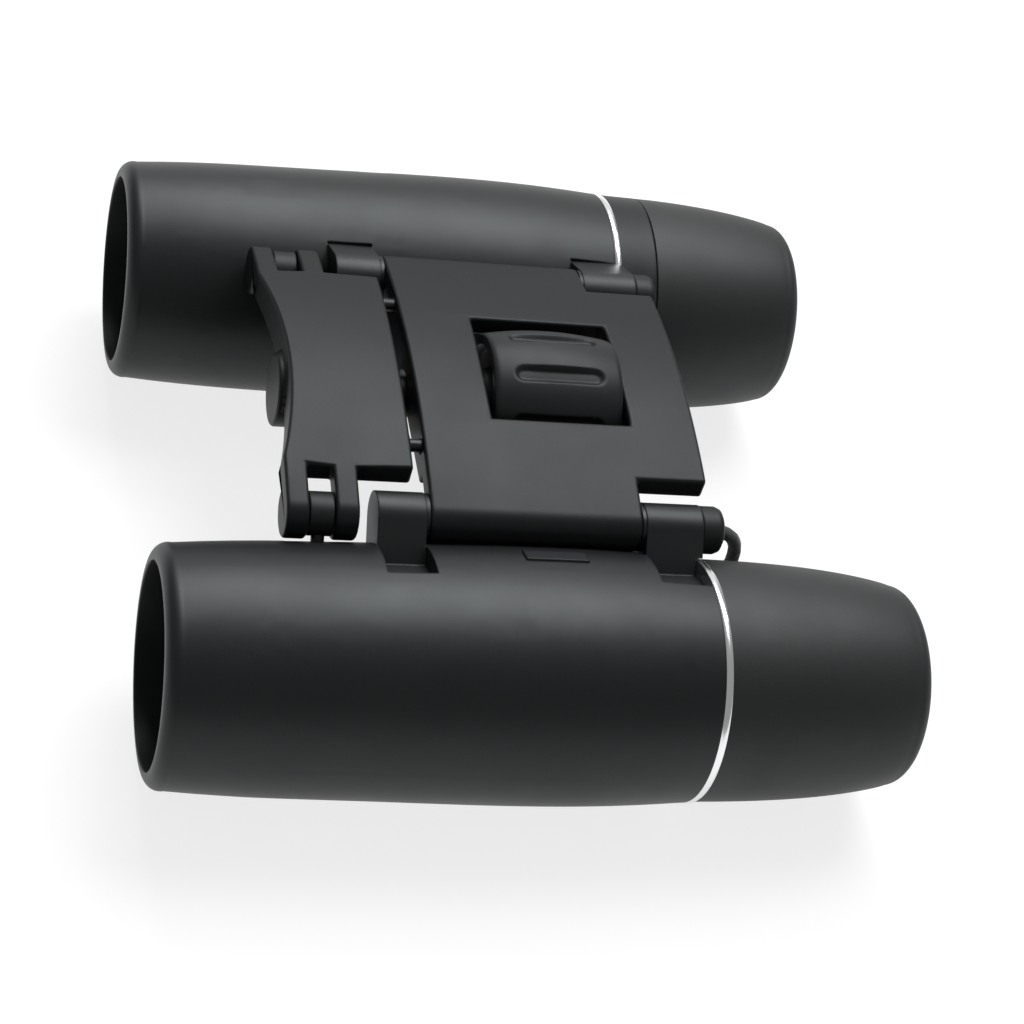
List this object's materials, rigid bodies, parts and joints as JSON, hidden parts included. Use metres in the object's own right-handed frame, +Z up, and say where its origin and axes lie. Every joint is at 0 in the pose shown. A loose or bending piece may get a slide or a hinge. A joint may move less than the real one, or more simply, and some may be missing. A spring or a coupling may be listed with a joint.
{
  "type": "binoculars",
  "caption": "Compact folding binoculars: two black barrels hinged to a crowned bridge with a centre focus wheel, bright trim rings and a wrist-strap cord.",
  "frame": {"origin": "on the resting surface, midway between the two barrels and midway along them", "axes": "+X to the user's right, across the two barrels; +Y towards the objectives; +Z up, towards the focus wheel"},
  "size_m": [0.099, 0.092, 0.0365],
  "materials": {
    "black_paint": "satin",
    "black_plastic": "satin",
    "eyecup_rubber": "satin",
    "bright_aluminium": "polished",
    "steel": "machined",
    "brass": "machined",
    "lens_glass": "polished",
    "prism_glass": "polished",
    "black_anodised": "anodised",
    "strap_cord": "braided"
  },
  "bodies": {
    "bridge": {"bridge_plate": "black_paint", "guide_rods": "steel", "shaft_bushes": "brass", "hinge_washers": "steel", "strap_knot": "strap_cord", "strap_lead": "strap_cord", "strap_hank": "strap_cord", "strap_tie": "strap_cord"},
    "focus_wheel_set": {"focus_wheel": "black_plastic", "wheel_grub_screw": "steel", "focus_screw": "steel", "wheel_thrust_washer": "brass", "shaft_retaining_ring": "steel"},
    "focus_carriage_set": {"focus_carriage": "black_paint", "focus_nut": "brass", "clevis_pins": "steel"},
    "left_barrel": {"left_barrel_shell": "black_paint", "left_adjuster_cover": "black_paint", "left_hinge_cap": "black_plastic", "left_hinge_pin": "steel", "left_prism_cage": "black_plastic", "left_half_penta_prism": "prism_glass", "left_roof_prism": "prism_glass", "left_prism_clip": "steel", "left_trim_ring": "bright_aluminium", "left_ocular_tube": "black_anodised", "left_field_lens": "lens_glass", "left_eye_lens": "lens_glass", "left_lens_spacer": "black_anodised", "left_lens_retainer": "black_anodised", "left_eyecup": "eyecup_rubber"},
    "left_objective": {"left_objective_cell": "black_anodised", "left_crown_lens": "lens_glass", "left_flint_lens": "lens_glass", "left_objective_ring": "black_anodised", "left_link_stud": "steel", "left_focus_link": "black_anodised"},
    "right_barrel": {"right_barrel_shell": "black_paint", "right_hinge_cap": "black_plastic", "right_hinge_pin": "steel", "right_prism_cage": "black_plastic", "right_half_penta_prism": "prism_glass", "right_roof_prism": "prism_glass", "right_prism_clip": "steel", "right_trim_ring": "bright_aluminium", "right_eyepiece_collar": "black_plastic"},
    "right_objective": {"right_objective_cell": "black_anodised", "right_crown_lens": "lens_glass", "right_flint_lens": "lens_glass", "right_objective_ring": "black_anodised", "right_link_stud": "steel", "right_focus_link": "black_anodised"},
    "right_dioptre": {"right_dioptre_eyecup": "eyecup_rubber"},
    "right_ocular": {"right_ocular_tube": "black_anodised", "right_field_lens": "lens_glass", "right_eye_lens": "lens_glass", "right_lens_spacer": "black_anodised", "right_lens_retainer": "black_anodised"}
  },
  "joints": [
    {"name": "focus_wheel_turn", "type": "hinge", "parent": "bridge", "child": "focus_wheel_set", "pos_m": [0, -0.0035, 0.0274], "axis": [0, 1, 0], "range_deg": [-90, 234]},
    {"name": "carriage_slide", "type": "slide", "parent": "bridge", "child": "focus_carriage_set", "axis": [0, 1, 0], "range_m": [-0.001, 0.0026]},
    {"name": "left_fold", "type": "hinge", "parent": "bridge", "child": "left_barrel", "pos_m": [-0.02105, 0, 0.02795], "axis": [0, -1, 0], "range_deg": [-9.5, 55], "deforming": ["strap_lead"]},
    {"name": "right_fold", "type": "hinge", "parent": "bridge", "child": "right_barrel", "pos_m": [0.02105, 0, 0.02795], "axis": [0, 1, 0], "range_deg": [-9.5, 55]},
    {"name": "left_objective_slide", "type": "slide", "parent": "left_barrel", "child": "left_objective", "axis": [0, 1, 0], "range_m": [-0.001, 0.0026]},
    {"name": "right_objective_slide", "type": "slide", "parent": "right_barrel", "child": "right_objective", "axis": [0, 1, 0], "range_m": [-0.001, 0.0026]},
    {"name": "dioptre_turn", "type": "hinge", "parent": "right_barrel", "child": "right_dioptre", "pos_m": [0.0341, -0.035, 0.0154], "axis": [0, 1, 0], "range_deg": [-150, 150]},
    {"name": "right_ocular_slide", "type": "slide", "parent": "right_barrel", "child": "right_ocular", "axis": [0, 1, 0], "range_m": [-0.0015, 0.0015]}
  ],
  "couplings": [
    {"joint": "carriage_slide", "follows": "focus_wheel_turn", "m_per_rad": 0.00063662},
    {"joint": "left_objective_slide", "follows": "focus_wheel_turn", "m_per_rad": 0.00063662},
    {"joint": "right_objective_slide", "follows": "focus_wheel_turn", "m_per_rad": 0.00063662},
    {"joint": "right_ocular_slide", "follows": "dioptre_turn", "m_per_rad": 0.000573}
  ]
}
